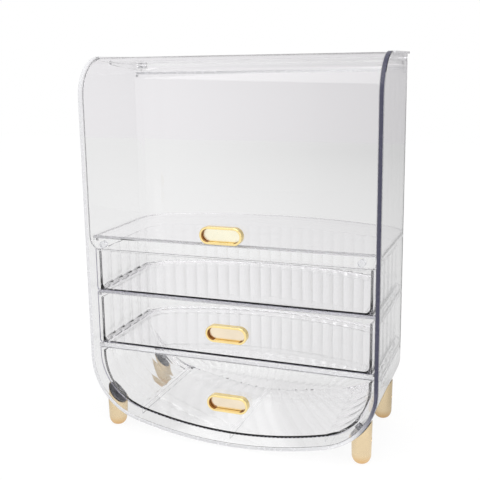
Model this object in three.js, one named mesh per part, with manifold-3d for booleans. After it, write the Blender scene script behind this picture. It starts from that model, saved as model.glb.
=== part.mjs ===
// A clear plastic cosmetics case: a hinged cover over an upper compartment, and three fluted drawers below it.
import * as THREE from 'three';
import { mergeVertices } from 'three/addons/utils/BufferGeometryUtils.js';
import Module from 'manifold-3d';

const wasm = await Module();
wasm.setup();

// Sizes are millimetres. While it is built, x runs to the right, y to the back from the case's front rim, z up
// from the floor. The finished object is then centred on its feet.

// Case
const caseWidth = 300;
const caseDepth = 174;
const caseHeight = 384.5;
const caseWall = 4;
const bellyClearance = 2.5;
const bellyRadius = 400;
const bellyCornerRadius = 66;
const backRadius = 334;
const backCornerRadius = 38;
const browRadius = 40;
const lipReach = 2;
const lipThickness = 2;
const ledgeReach = 3;
const ledgeThickness = 3;
const ledgeSetback = 16;
const bellyRibHeight = 5;
const bellyRibWidth = 1.6;
const bellyRibSpacing = 98;
const seatGap = 0.3;
const cutOverrun = 5;

// Shelves
const frontRecess = 10;
const shelfThickness = 3;
const runnerWidth = 1.2;
const runnerSpacing = 4;
const runnerInset = 8.5;
const lowerRunnerHeight = 1.6;
const middleRunnerHeight = 0.6;
const lowerShelfGap = 0.8;
const middleShelfDrop = 2;
const shelfLipHeight = 9.7;
const shelfLipGap = 1.3;
const shelfSetback = 0.8;
const shelfEdgeRadius = 2.2;

// Drawers
const frontThickness = 2.5;
const frontSideGap = 1.5;
const frontCornerRadius = 3;
const bottomDrawerTop = 86.5;
const bottomDrawerCornerRadius = 58;
const middleDrawerHeight = 54.6;
const topDrawerHeight = 43.3;
const tubSideGap = 4.5;
const tubWall = 1.5;
const tubFloor = 1.6;
const tubTopGap = 1.2;
const backRoundRadius = 50;
const backRoundDrop = 2;
const backFlutePitch = 12.5;
const backRidgeHeight = 2.5;
const sideFlutePitch = 21;
const sideRidgeHeight = 1.2;

// Cover
const coverThickness = 3;
const coverSetback = 1;
const coverSideGap = 0.8;
const coverBottomGap = 0.6;
const coverCornerRadius = 14;
const hingeFromBack = 54;
const barrelRadius = 6;
const barrelEndGap = 0.8;
const barrelNotch = 10;
const coverRibThickness = 2.5;
const coverRibStart = 52;
const coverRibStartHeight = 6;
const pinRadius = 2;
const pinClearance = 0.3;
const pinDepth = 8;
const pinSetback = 1.5;
const deckGap = 1.2;
const deckFrontReach = 5;
const bumperRadius = 3.5;
const bumperInset = 14;
const bumperHeight = 5;

// Pulls
const pullLength = 43;
const pullHeight = 17;
const pullProjection = 7;
const pullRim = 2.2;
const pullRecess = 5;
const pullEdgeRound = 0.8;
const insetThickness = 0.6;
const pegRadius = 1.6;
const pegSpacing = 26;
const pegClearance = 0.3;
const pegTail = 1.6;
const nutRadius = 3;
const nutThickness = 1.4;
const coverPullHeight = 24.5;
const middlePullHeight = 25;
const bottomPullHeight = 33.5;

// Feet
const footRadius = 10;
const footShoulderRadius = 9.4;
const footRoundHeight = 9;
const footTreadRadius = 3;
const footInset = 18.5;
const frontFootY = 18;
const rearFootFromBack = 50;
const padThickness = 1;
const padRadius = 8.6;
const screwRadius = 1.5;
const screwHeadRadius = 3.4;
const screwHeadHeight = 1.8;
const screwLength = 13;
const screwClearance = 0.3;

// Steps in curves
const cornerSteps = 10;
const bowSteps = 12;
const browSteps = 10;
const fluteSteps = 4;
const roundSteps = 24;
const footSteps = 28;
const pullSteps = 10;
const levelSteps = 7;

// Levels and half widths that follow from the sizes
const innerHalf = caseWidth / 2 - caseWall;
const innerBack = caseDepth - caseWall;
const frontHalf = innerHalf - frontSideGap;
const tubHalf = innerHalf - tubSideGap;
const tubBack = innerBack - tubSideGap;
const tubFront = frontRecess + frontThickness;
const tubCornerRadius = backCornerRadius - caseWall - tubSideGap;
const tubBackRadius = backRadius - caseWall - tubSideGap;
const hingeY = caseDepth - hingeFromBack;
const barrelHalfLength = innerHalf - ledgeReach - barrelEndGap;
const footSide = caseWidth / 2 - footInset;
const rearFootY = caseDepth - rearFootFromBack;
const bottomDrawerLow = bellyClearance + caseWall + bellyRibHeight + seatGap;
const lowerShelfBottom = bottomDrawerTop + lowerShelfGap;
const lowerShelfTop = lowerShelfBottom + shelfThickness;
const middleDrawerBottom = lowerShelfTop + lowerRunnerHeight + seatGap;
const middleDrawerTop = middleDrawerBottom + middleDrawerHeight;
const middleShelfBottom = middleDrawerTop - middleShelfDrop;
const middleShelfTop = middleShelfBottom + shelfThickness;
const topDrawerBottom = middleShelfTop + middleRunnerHeight + seatGap;
const topDrawerTop = topDrawerBottom + topDrawerHeight;
const shelfLipBottom = topDrawerTop + shelfLipGap;
const upperShelfBottom = shelfLipBottom + shelfLipHeight;
const upperShelfTop = upperShelfBottom + shelfThickness;
const coverBottom = topDrawerTop + coverBottomGap;
const coverTop = caseHeight - coverSetback;
const coverHalf = innerHalf - coverSideGap;
const hingeHeight = coverTop - barrelRadius;
const deckTop = hingeHeight - barrelRadius - deckGap;
const deckBottom = deckTop - shelfThickness;
const coverPullZ = coverBottom + coverPullHeight;
const middlePullZ = middleDrawerBottom + middlePullHeight;
const bottomPullZ = bottomDrawerLow + bottomPullHeight;

// Finishes
const finishes = {
  clear: { color: 0xdfe2e8, roughness: 0.06, metalness: 0, transparent: true, opacity: 0.35 },
  softClear: { color: 0xe6e8ea, roughness: 0.3, metalness: 0, transparent: true, opacity: 0.5 },
  gold: { color: 0xe8c67a, roughness: 0.18, metalness: 1 },
  paleGold: { color: 0xf3e3bd, roughness: 0.3, metalness: 1 },
  champagne: { color: 0xd9b47a, roughness: 0.34, metalness: 0.85 },
  steel: { color: 0x9a9ca2, roughness: 0.3, metalness: 1 },
  rubber: { color: 0x5c5d66, roughness: 0.8, metalness: 0 },
};

// Axes for prisms: the outline's first axis, its second axis and the way it is drawn out
const alongX = [new THREE.Vector3(0, 1, 0), new THREE.Vector3(0, 0, 1), new THREE.Vector3(1, 0, 0)];
const alongZ = [new THREE.Vector3(1, 0, 0), new THREE.Vector3(0, 1, 0), new THREE.Vector3(0, 0, 1)];
const backY = [new THREE.Vector3(1, 0, 0), new THREE.Vector3(0, 0, 1), new THREE.Vector3(0, -1, 0)];

function solidOf(geometry) {
  const bare = geometry.clone();
  bare.deleteAttribute('normal');
  bare.deleteAttribute('uv');
  const merged = mergeVertices(bare);
  return new wasm.Manifold(new wasm.Mesh({
    numProp: 3,
    vertProperties: new Float32Array(merged.attributes.position.array),
    triVerts: new Uint32Array(merged.index.array),
  }));
}

function geometryOf(solid) {
  const data = solid.getMesh();
  const geometry = new THREE.BufferGeometry();
  geometry.setAttribute('position', new THREE.BufferAttribute(new Float32Array(data.vertProperties), 3));
  geometry.setIndex(new THREE.BufferAttribute(new Uint32Array(data.triVerts), 1));
  geometry.computeVertexNormals();
  return geometry;
}

function prism(points, axes, from, to) {
  const shape = new THREE.Shape(points.map(([u, v]) => new THREE.Vector2(u, v)));
  const geometry = new THREE.ExtrudeGeometry(shape, { depth: to - from, bevelEnabled: false });
  geometry.translate(0, 0, from);
  geometry.applyMatrix4(new THREE.Matrix4().makeBasis(...axes));
  return solidOf(geometry);
}

// A prism drawn out along y from front to back; its outline is given in x and z.
function prismY(points, front, back) {
  return prism(points, backY, -back, -front);
}

function prismZ(points, bottom, top) {
  return prism(points, alongZ, bottom, top);
}

function prismX(points, left, right) {
  return prism(points, alongX, left, right);
}

// A solid through plan outlines with one number of points, each at its own level, from the lowest up
function loft(outlines, levels) {
  const count = outlines[0].length;
  const last = count * (levels.length - 1);
  const flat = (outline) => outline.map(([x, y]) => new THREE.Vector2(x, y));
  const faces = [
    ...THREE.ShapeUtils.triangulateShape(flat(outlines[0]), []).flatMap(([a, b, c]) => [a, c, b]),
    ...THREE.ShapeUtils.triangulateShape(flat(outlines.at(-1)), []).flat().map((corner) => corner + last),
  ];
  for (let i = 0; i < last; i += 1) {
    const next = (i + 1) % count === 0 ? i + 1 - count : i + 1;
    faces.push(i, next, next + count, i, next + count, i + count);
  }
  const positions = outlines.flatMap((outline, i) => outline.flatMap(([x, y]) => [x, y, levels[i]]));
  const geometry = new THREE.BufferGeometry();
  geometry.setAttribute('position', new THREE.Float32BufferAttribute(positions, 3));
  geometry.setIndex(faces);
  return solidOf(geometry);
}

function box(left, right, front, back, bottom, top) {
  return prismZ([[left, front], [right, front], [right, back], [left, back]], bottom, top);
}

function joined(solids) {
  return solids.reduce((all, solid) => all.add(solid));
}

function arc(centre, radius, from, to, steps) {
  const points = [];
  for (let i = 0; i <= steps; i += 1) {
    const angle = from + (to - from) * i / steps;
    points.push([centre[0] + radius * Math.cos(angle), centre[1] + radius * Math.sin(angle)]);
  }
  return points;
}

// Where the corner arcs of a bowed outline have their centres, and how far the bow reaches round
function bowedFrame(half, corner, bow, tip, open) {
  const side = open > tip ? 1 : -1;
  const bowCentre = tip + side * bow;
  const rise = Math.sqrt((bow - corner) ** 2 - (half - corner) ** 2);
  return {
    side,
    bowCentre,
    cornerCentre: bowCentre - side * rise,
    lean: Math.asin((half - corner) / (bow - corner)),
  };
}

// Straight sides that turn through round corners into one long bow, closed across its open end
function bowedOutline(half, corner, bow, tip, open) {
  const { side, bowCentre, cornerCentre, lean } = bowedFrame(half, corner, bow, tip, open);
  const near = -side * (Math.PI / 2 - lean);
  const far = -side * (Math.PI / 2 + lean);
  return [
    [half, open],
    ...arc([half - corner, cornerCentre], corner, 0, near, cornerSteps),
    ...arc([0, bowCentre], bow, near, far, bowSteps).slice(1, -1),
    ...arc([corner - half, cornerCentre], corner, far, -side * Math.PI, cornerSteps),
    [-half, open],
  ];
}

function bellyOutline(inset, top) {
  return bowedOutline(caseWidth / 2 - inset, bellyCornerRadius - inset, bellyRadius - inset,
    bellyClearance + inset, top);
}

function planOutline(inset, front) {
  return bowedOutline(caseWidth / 2 - inset, backCornerRadius - inset, backRadius - inset,
    caseDepth - inset, front);
}

// Flutes along a path with the inside on its left, each a hollow between two ridges of one height
function fluted(path, count, ridgeHeight) {
  const points = [];
  for (let i = 0; i <= count * fluteSteps; i += 1) {
    const at = path.getPointAt(i / (count * fluteSteps));
    const way = path.getTangentAt(i / (count * fluteSteps));
    const share = (i % fluteSteps) / fluteSteps;
    const rise = ridgeHeight * (1 - 2 * share) ** 2;
    points.push([at.x - way.y * rise, at.y + way.x * rise]);
  }
  return points;
}

// How many flutes a drawer has down each side and round its back
const tubFrame = bowedFrame(tubHalf - tubWall, tubCornerRadius - tubWall, tubBackRadius - tubWall,
  tubBack - tubWall, tubFront);
const cornerLength = (tubCornerRadius - tubWall) * (Math.PI / 2 - tubFrame.lean);
const bowLength = (tubBackRadius - tubWall) * tubFrame.lean;
const sideFlutes = Math.max(1, Math.round((tubFrame.cornerCentre - tubFront) / sideFlutePitch));
const backFlutes = Math.max(1, Math.round(2 * (cornerLength + bowLength) / backFlutePitch));

// The plan outline of a drawer's inside: wide flutes down the sides, narrow ones round the back
function flutedOutline(half, tip) {
  const corner = tubCornerRadius - tubWall;
  const bow = tubBackRadius - tubWall;
  const { bowCentre, cornerCentre, lean } = bowedFrame(half, corner, bow, tip, tubFront);
  const near = Math.PI / 2 - lean;
  const far = Math.PI / 2 + lean;
  const right = new THREE.LineCurve(new THREE.Vector2(half, tubFront), new THREE.Vector2(half, cornerCentre));
  const round = new THREE.Path();
  round.absarc(half - corner, cornerCentre, corner, 0, near, false);
  round.absarc(0, bowCentre, bow, near, far, false);
  round.absarc(corner - half, cornerCentre, corner, far, Math.PI, false);
  const left = new THREE.LineCurve(new THREE.Vector2(-half, cornerCentre), new THREE.Vector2(-half, tubFront));
  return [
    ...fluted(right, sideFlutes, sideRidgeHeight),
    ...fluted(round, backFlutes, backRidgeHeight).slice(1, -1),
    ...fluted(left, sideFlutes, sideRidgeHeight),
  ];
}

function roundedRectangle(half, bottom, top, lowerRadius, upperRadius, steps) {
  const corner = (x, z, radius, from) => {
    if (radius === 0) return [[x, z]];
    const centre = [x - Math.sign(x) * radius, z + (from >= Math.PI ? radius : -radius)];
    return arc(centre, radius, from, from + Math.PI / 2, steps);
  };
  return [
    ...corner(half, top, upperRadius, 0),
    ...corner(-half, top, upperRadius, Math.PI / 2),
    ...corner(-half, bottom, lowerRadius, Math.PI),
    ...corner(half, bottom, lowerRadius, 3 * Math.PI / 2),
  ];
}

function cylinder(radius, from, to, steps) {
  const start = new THREE.Vector3(...from);
  const way = new THREE.Vector3(...to).sub(start);
  const geometry = new THREE.CylinderGeometry(radius, radius, way.length(), steps);
  geometry.translate(0, way.length() / 2, 0);
  geometry.applyQuaternion(new THREE.Quaternion().setFromUnitVectors(
    new THREE.Vector3(0, 1, 0), way.clone().normalize()));
  geometry.translate(start.x, start.y, start.z);
  return solidOf(geometry);
}

// Screw axes of the feet: each goes square through the belly wall above its foot
const bellyFrame = bowedFrame(caseWidth / 2, bellyCornerRadius, bellyRadius, bellyClearance, caseHeight);
const cornerCentreX = caseWidth / 2 - bellyCornerRadius;
const screwTilt = Math.acos((footSide - cornerCentreX) / bellyCornerRadius);
const feet = [
  { name: 'front_left', x: -1, y: frontFootY },
  { name: 'front_right', x: 1, y: frontFootY },
  { name: 'rear_left', x: -1, y: rearFootY },
  { name: 'rear_right', x: 1, y: rearFootY },
];

// The point on a foot's screw axis that lies at a radius from the belly corner's centre line
function onScrewAxis(foot, radius) {
  return [
    foot.x * (cornerCentreX + radius * Math.cos(screwTilt)),
    foot.y,
    bellyFrame.cornerCentre - radius * Math.sin(screwTilt),
  ];
}

function screwHole(foot) {
  return cylinder(screwRadius + screwClearance, onScrewAxis(foot, bellyCornerRadius - caseWall - cutOverrun),
    onScrewAxis(foot, bellyCornerRadius + screwLength + cutOverrun), roundSteps);
}

// A band of the case's inside wall, between two insets, two levels and two depths
function wallBand(outerInset, innerInset, front, back, bottom, top) {
  const outer = prismZ(planOutline(outerInset, 0), bottom, top);
  const inner = prismZ(planOutline(innerInset, -cutOverrun), bottom - cutOverrun, top + cutOverrun);
  return outer.subtract(inner).intersect(box(-caseWidth, caseWidth, front, back, bottom, top));
}

function bellyRibs() {
  const low = caseWall - seatGap;
  const back = innerBack - backCornerRadius;
  const hollow = prismY(bellyOutline(caseWall + bellyRibHeight, caseHeight), frontRecess, back);
  const strips = [-bellyRibSpacing, 0, bellyRibSpacing].map((x) => box(x - bellyRibWidth / 2,
    x + bellyRibWidth / 2, frontRecess, back, bellyClearance, bellyFrame.cornerCentre));
  return prismY(bellyOutline(low, caseHeight), frontRecess, back)
    .subtract(hollow).intersect(joined(strips));
}

function caseShell() {
  const brow = [
    [0, 0],
    [caseDepth + cutOverrun, 0],
    [caseDepth + cutOverrun, caseHeight],
    ...arc([browRadius, caseHeight - browRadius], browRadius, Math.PI / 2, Math.PI, browSteps),
  ];
  const outer = prismY(bellyOutline(0, caseHeight), 0, caseDepth)
    .intersect(prismZ(planOutline(0, -cutOverrun), 0, caseHeight))
    .intersect(prismX(brow, -caseWidth, caseWidth));
  const inner = prismY(bellyOutline(caseWall, caseHeight + cutOverrun), -cutOverrun, caseDepth)
    .intersect(prismZ(planOutline(caseWall, -cutOverrun), 0, caseHeight + cutOverrun));
  const lip = wallBand(-lipReach, caseWall, browRadius, caseDepth + lipReach,
    caseHeight - lipThickness, caseHeight);
  const ledges = [lowerShelfBottom, middleShelfBottom, upperShelfBottom].map((level) => wallBand(
    caseWall - seatGap, caseWall + ledgeReach, ledgeSetback, caseDepth, level - seatGap - ledgeThickness,
    level - seatGap));
  const deckLedge = wallBand(caseWall - seatGap, caseWall + ledgeReach, hingeY - deckFrontReach,
    caseDepth, deckBottom - seatGap - ledgeThickness, deckBottom - seatGap);
  const pinHole = cylinder(pinRadius + pinClearance, [-caseWidth, hingeY, hingeHeight],
    [caseWidth, hingeY, hingeHeight], roundSteps);
  return joined([outer.subtract(inner), lip, ...ledges, deckLedge, bellyRibs()])
    .subtract(joined([pinHole, ...feet.map(screwHole)]));
}

function shelfPlate(front, bottom, top) {
  return prismZ(planOutline(caseWall + seatGap, 0), bottom, top)
    .intersect(box(-caseWidth, caseWidth, front, caseDepth, bottom, top));
}

// Two pairs of narrow ribs that a drawer slides on
function runners(top, height) {
  const front = frontRecess + shelfSetback;
  const places = [tubHalf - runnerInset + runnerSpacing, tubHalf - runnerInset].flatMap((x) => [x, -x]);
  return places.map((x) => box(x - runnerWidth / 2, x + runnerWidth / 2, front, innerBack - backCornerRadius,
    top - seatGap, top + height));
}

function lowerShelf() {
  return joined([
    shelfPlate(frontRecess + shelfSetback, lowerShelfBottom, lowerShelfTop),
    ...runners(lowerShelfTop, lowerRunnerHeight),
  ]);
}

function middleShelf() {
  const front = tubFront + shelfSetback;
  return joined([
    shelfPlate(front, middleShelfBottom, middleShelfTop),
    ...runners(middleShelfTop, middleRunnerHeight).map((rib) => rib.intersect(
      box(-caseWidth, caseWidth, front, caseDepth, middleShelfBottom, topDrawerBottom))),
  ]);
}

function upperShelf() {
  const profile = [
    [frontRecess, shelfLipBottom],
    [tubFront, shelfLipBottom],
    [tubFront, upperShelfBottom],
    [caseDepth, upperShelfBottom],
    [caseDepth, upperShelfTop],
    ...arc([frontRecess + shelfEdgeRadius, upperShelfTop - shelfEdgeRadius], shelfEdgeRadius,
      Math.PI / 2, Math.PI, fluteSteps),
  ];
  return prismX(profile, -caseWidth, caseWidth)
    .intersect(prismZ(planOutline(caseWall + seatGap, 0), shelfLipBottom, upperShelfTop));
}

function rearDeck() {
  return shelfPlate(hingeY - deckFrontReach, deckBottom, deckTop);
}

// Two holes for a pull's pegs through a front at a height
function pegHoles(height, front, back) {
  return joined([-1, 1].map((side) => cylinder(pegRadius + pegClearance,
    [side * pegSpacing / 2, front - cutOverrun, height], [side * pegSpacing / 2, back + cutOverrun, height],
    roundSteps)));
}

function straightDrawer(bottom, top, tubTop) {
  const front = prismY(roundedRectangle(frontHalf, bottom, top, frontCornerRadius, 0, cornerSteps),
    frontRecess, tubFront);
  const inside = prismZ(flutedOutline(tubHalf - tubWall, tubBack - tubWall), bottom + tubFloor,
    tubTop + cutOverrun);
  const tub = prismZ(planOutline(caseWall + tubSideGap, frontRecess), bottom, tubTop).subtract(inside);
  return front.add(tub);
}

function topDrawer() {
  return straightDrawer(topDrawerBottom, topDrawerTop, topDrawerTop - tubTopGap);
}

function middleDrawer() {
  return straightDrawer(middleDrawerBottom, middleDrawerTop, middleShelfBottom - ledgeThickness - tubTopGap)
    .subtract(pegHoles(middlePullZ, frontRecess, tubFront));
}

// Levels between two heights, closer together towards the lower one
function levelsUp(low, high) {
  return Array.from({ length: levelSteps + 1 }, (_, i) => low + (high - low) * (i / levelSteps) ** 2);
}

// How far in a wall stands at a height above the floor that it meets in a round
function roundInset(radius, height) {
  const drop = Math.min(radius, Math.max(0, radius - height));
  return radius - Math.sqrt(radius ** 2 - drop ** 2);
}

// Where the round corner of a bowed outline stands at a level; below its end it stays where it is
function halfAt(half, corner, frame, level) {
  const drop = Math.min(corner * Math.cos(frame.lean), Math.max(0, frame.cornerCentre - level));
  return half - corner + Math.sqrt(corner ** 2 - drop ** 2);
}

function bottomDrawer() {
  const bow = bellyRadius - (bottomDrawerLow - bellyClearance);
  const corner = bottomDrawerCornerRadius - (frontHalf - tubHalf);
  const floor = bottomDrawerLow + tubFloor;
  const tubTop = lowerShelfBottom - ledgeThickness - tubTopGap;
  const front = prismY(bowedOutline(frontHalf, bottomDrawerCornerRadius, bow, bottomDrawerLow, caseHeight),
    frontRecess, tubFront).intersect(box(-caseWidth, caseWidth, 0, caseDepth, 0, bottomDrawerTop));

  const outerLevels = levelsUp(bottomDrawerLow, tubTop);
  const outer = loft(outerLevels.map((level) => bowedOutline(tubHalf, tubCornerRadius, tubBackRadius, tubBack
    - roundInset(backRoundRadius + tubWall, level - bottomDrawerLow + backRoundDrop), frontRecess)), outerLevels)
    .intersect(prismY(bowedOutline(tubHalf, corner, bow, bottomDrawerLow, caseHeight), frontRecess, caseDepth));

  const insideHalf = tubHalf - tubWall;
  const insideCorner = corner - tubWall;
  const insideBow = bow - tubFloor;
  const frame = bowedFrame(insideHalf, insideCorner, insideBow, floor, caseHeight);
  const innerLevels = [floor - cutOverrun, ...levelsUp(floor, tubTop), tubTop + cutOverrun];
  const reach = Math.asin(insideHalf / insideBow);
  const overFloor = [
    [insideHalf, caseHeight],
    ...arc([0, frame.bowCentre], insideBow, reach - Math.PI / 2, -reach - Math.PI / 2, 2 * bowSteps),
    [-insideHalf, caseHeight],
  ];
  const inner = loft(innerLevels.map((level) => flutedOutline(
    halfAt(insideHalf, insideCorner, frame, level),
    tubBack - tubWall - roundInset(backRoundRadius, level - floor + backRoundDrop))), innerLevels)
    .intersect(prismY(overFloor, tubFront, caseDepth));
  return front.add(outer.subtract(inner)).subtract(pegHoles(bottomPullZ, frontRecess, tubFront));
}

function cover() {
  const centre = [browRadius, caseHeight - browRadius];
  const outerRadius = browRadius - coverSetback;
  const profile = [
    [coverSetback, coverBottom],
    [coverSetback + coverThickness, coverBottom],
    ...arc(centre, outerRadius - coverThickness, Math.PI, Math.PI / 2, browSteps),
    [hingeY, coverTop - coverThickness],
    [hingeY, coverTop],
    ...arc(centre, outerRadius, Math.PI / 2, Math.PI, browSteps),
  ];
  const rounded = roundedRectangle(coverHalf, coverBottom, caseHeight, coverCornerRadius, 0, cornerSteps);
  const panel = prismX(profile, -coverHalf, coverHalf)
    .intersect(prismY(rounded, -cutOverrun, caseDepth));
  const rib = [
    [coverRibStart, coverTop - coverThickness / 2],
    [coverRibStart, coverTop - coverRibStartHeight],
    [hingeY, hingeHeight - barrelRadius],
    [hingeY, coverTop - coverThickness / 2],
  ];
  const ribs = [-1, 1].map((side) => prismX(rib, Math.min(side * barrelHalfLength,
    side * (barrelHalfLength - coverRibThickness)), Math.max(side * barrelHalfLength,
    side * (barrelHalfLength - coverRibThickness))));
  const barrel = cylinder(barrelRadius, [-barrelHalfLength, hingeY, hingeHeight],
    [barrelHalfLength, hingeY, hingeHeight], roundSteps);
  const notches = [-1, 1].map((side) => box(Math.min(side * barrelHalfLength, side * caseWidth),
    Math.max(side * barrelHalfLength, side * caseWidth), hingeY - barrelNotch,
    hingeY + barrelNotch, hingeHeight - barrelNotch, caseHeight + cutOverrun));
  const bores = [-1, 1].map((side) => cylinder(pinRadius + pinClearance,
    [side * (barrelHalfLength - pinDepth - pinClearance), hingeY, hingeHeight],
    [side * caseWidth, hingeY, hingeHeight], roundSteps));
  return joined([panel, ...ribs, barrel])
    .subtract(joined([...notches, ...bores, pegHoles(coverPullZ, coverSetback, coverSetback + coverThickness)]));
}

function hingePin(side) {
  return cylinder(pinRadius, [side * (barrelHalfLength - pinDepth), hingeY, hingeHeight],
    [side * (caseWidth / 2 - pinSetback), hingeY, hingeHeight], roundSteps);
}

// A pull stands on the face at y = face, with its middle at a height
function pullOutline(inset, height) {
  const radius = pullHeight / 2 - inset;
  const reach = (pullLength - pullHeight) / 2;
  return [
    ...arc([reach, height], radius, -Math.PI / 2, Math.PI / 2, pullSteps),
    ...arc([-reach, height], radius, Math.PI / 2, 3 * Math.PI / 2, pullSteps),
  ];
}

function pull(face, height, panelThickness) {
  const back = face - seatGap;
  const front = face - pullProjection;
  const body = joined([
    prismY(pullOutline(0, height), front + pullEdgeRound, back),
    prismY(pullOutline(pullEdgeRound / 2, height), front, back),
  ]);
  const recess = prismY(pullOutline(pullRim, height), front - cutOverrun, front + pullRecess);
  const pegs = [-1, 1].map((side) => cylinder(pegRadius, [side * pegSpacing / 2, back - seatGap, height],
    [side * pegSpacing / 2, face + panelThickness + pegTail, height], roundSteps));
  return joined([body.subtract(recess), ...pegs]);
}

function pullInset(face, height) {
  const floor = face - pullProjection + pullRecess - seatGap;
  return prismY(pullOutline(pullRim + seatGap, height), floor - insetThickness, floor);
}

function pegNut(face, height, panelThickness, side) {
  const x = side * pegSpacing / 2;
  const front = face + panelThickness + seatGap;
  const disc = cylinder(nutRadius, [x, front, height], [x, front + nutThickness, height], roundSteps);
  return disc.subtract(cylinder(pegRadius + pegClearance, [x, front - cutOverrun, height],
    [x, front + nutThickness + cutOverrun, height], roundSteps));
}

function coverBumper(side) {
  const x = side * (innerHalf - bumperInset);
  const z = shelfLipBottom + bumperHeight;
  return cylinder(bumperRadius, [x, coverSetback + coverThickness + seatGap, z],
    [x, frontRecess - seatGap, z], roundSteps);
}

// The region under the case's belly, left clear of it by a gap
function belowBelly(gap) {
  const top = bellyFrame.cornerCentre;
  const block = box(-caseWidth, caseWidth, -cutOverrun, caseDepth, -cutOverrun, top);
  return block.subtract(prismY(bellyOutline(-gap, top + cutOverrun), -caseDepth, caseDepth + cutOverrun));
}

function footBody(foot) {
  const top = bellyFrame.cornerCentre;
  const rounding = arc([0, footRoundHeight], 1, -Math.PI / 2, 0, footSteps / 4).map(([u, v]) => [
    footTreadRadius + (footShoulderRadius - footTreadRadius) * u,
    footRoundHeight + (v - footRoundHeight) * footRoundHeight,
  ]);
  const profile = [[0, 0], ...rounding, [footRadius, top / 2], [footRadius, top], [0, top]];
  const geometry = new THREE.LatheGeometry(profile.map(([r, z]) => new THREE.Vector2(r, z)), footSteps);
  geometry.rotateX(Math.PI / 2);
  geometry.translate(foot.x * footSide, foot.y, 0);
  const gap = padThickness + 2 * seatGap;
  return solidOf(geometry).intersect(belowBelly(gap)).subtract(screwHole(foot));
}

function footPad(foot) {
  const column = cylinder(padRadius, [foot.x * footSide, foot.y, 0],
    [foot.x * footSide, foot.y, bellyFrame.cornerCentre], footSteps);
  return column.intersect(belowBelly(seatGap)).subtract(belowBelly(seatGap + padThickness))
    .subtract(screwHole(foot));
}

function footScrew(foot) {
  const seat = bellyCornerRadius - caseWall - seatGap;
  return joined([
    cylinder(screwRadius, onScrewAxis(foot, seat - screwHeadHeight / 2),
      onScrewAxis(foot, seat + screwLength), roundSteps),
    cylinder(screwHeadRadius, onScrewAxis(foot, seat - screwHeadHeight), onScrewAxis(foot, seat), roundSteps),
  ]);
}

// Everything hangs in one group, moved so that the object's middle lies over the origin
const frontMost = coverSetback - pullProjection;
const rearMost = caseDepth + lipReach;
const organizer = new THREE.Group();
const assembly = new THREE.Group();
assembly.position.y = -(frontMost + rearMost) / 2;
organizer.add(assembly);

function place(name, solid, finish) {
  const mesh = new THREE.Mesh(geometryOf(solid), new THREE.MeshStandardMaterial(finishes[finish]));
  mesh.name = name;
  assembly.add(mesh);
}

place('case_shell', caseShell(), 'clear');
place('lower_shelf', lowerShelf(), 'clear');
place('middle_shelf', middleShelf(), 'clear');
place('upper_shelf', upperShelf(), 'clear');
place('rear_deck', rearDeck(), 'clear');
place('cover', cover(), 'clear');
place('top_drawer', topDrawer(), 'clear');
place('middle_drawer', middleDrawer(), 'clear');
place('bottom_drawer', bottomDrawer(), 'clear');

for (const [name, side] of [['left', -1], ['right', 1]]) {
  place(`hinge_pin_${name}`, hingePin(side), 'steel');
  place(`cover_bumper_${name}`, coverBumper(side), 'softClear');
}

const pulls = [
  { name: 'cover', face: coverSetback, height: coverPullZ, panel: coverThickness },
  { name: 'middle_drawer', face: frontRecess, height: middlePullZ, panel: frontThickness },
  { name: 'bottom_drawer', face: frontRecess, height: bottomPullZ, panel: frontThickness },
];
for (const { name, face, height, panel } of pulls) {
  place(`${name}_pull`, pull(face, height, panel), 'gold');
  place(`${name}_pull_inset`, pullInset(face, height), 'paleGold');
  place(`${name}_pull_nut_left`, pegNut(face, height, panel, -1), 'softClear');
  place(`${name}_pull_nut_right`, pegNut(face, height, panel, 1), 'softClear');
}

for (const foot of feet) {
  place(`foot_${foot.name}`, footBody(foot), 'champagne');
  place(`foot_pad_${foot.name}`, footPad(foot), 'rubber');
  place(`foot_screw_${foot.name}`, footScrew(foot), 'steel');
}

export default organizer;
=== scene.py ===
"""A clear plastic cosmetics case with a hinged dust cover, fluted drawers, gold pulls and short round feet."""
import math

import bmesh
import bpy
from bpy.props import FloatProperty, FloatVectorProperty, IntProperty, PointerProperty
from bpy.types import NodeSocket, Operator, Panel, PropertyGroup
from mathutils import Matrix, Vector


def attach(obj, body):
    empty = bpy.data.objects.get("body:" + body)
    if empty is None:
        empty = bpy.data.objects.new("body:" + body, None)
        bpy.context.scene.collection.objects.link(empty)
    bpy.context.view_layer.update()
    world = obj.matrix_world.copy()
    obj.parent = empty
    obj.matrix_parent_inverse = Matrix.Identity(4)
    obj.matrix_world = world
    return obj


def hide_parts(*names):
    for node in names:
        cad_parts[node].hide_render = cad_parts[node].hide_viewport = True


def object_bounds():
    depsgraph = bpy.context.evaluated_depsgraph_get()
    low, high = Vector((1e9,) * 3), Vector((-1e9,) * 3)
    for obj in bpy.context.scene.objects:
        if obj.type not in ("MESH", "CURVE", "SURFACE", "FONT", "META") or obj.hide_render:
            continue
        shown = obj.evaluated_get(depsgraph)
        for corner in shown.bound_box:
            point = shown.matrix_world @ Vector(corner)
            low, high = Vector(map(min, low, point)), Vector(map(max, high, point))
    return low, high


bl_info = {
    "name": "Cosmetics Case",
    "version": (1, 0, 0),
    "blender": (4, 5, 0),
    "location": "3D View > Sidebar > Cosmetics Case",
    "description": "Makes a clear drawer case for cosmetics, its gold pulls and feet, and a plain studio",
    "category": "Object",
}

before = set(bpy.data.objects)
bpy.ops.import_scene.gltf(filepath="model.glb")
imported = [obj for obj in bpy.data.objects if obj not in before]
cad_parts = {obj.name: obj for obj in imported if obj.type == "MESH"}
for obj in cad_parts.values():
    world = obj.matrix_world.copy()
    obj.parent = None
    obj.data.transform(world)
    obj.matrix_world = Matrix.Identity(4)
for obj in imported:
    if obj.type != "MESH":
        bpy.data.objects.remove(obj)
CAD_BOX = [list(corner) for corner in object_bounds()]

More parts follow.
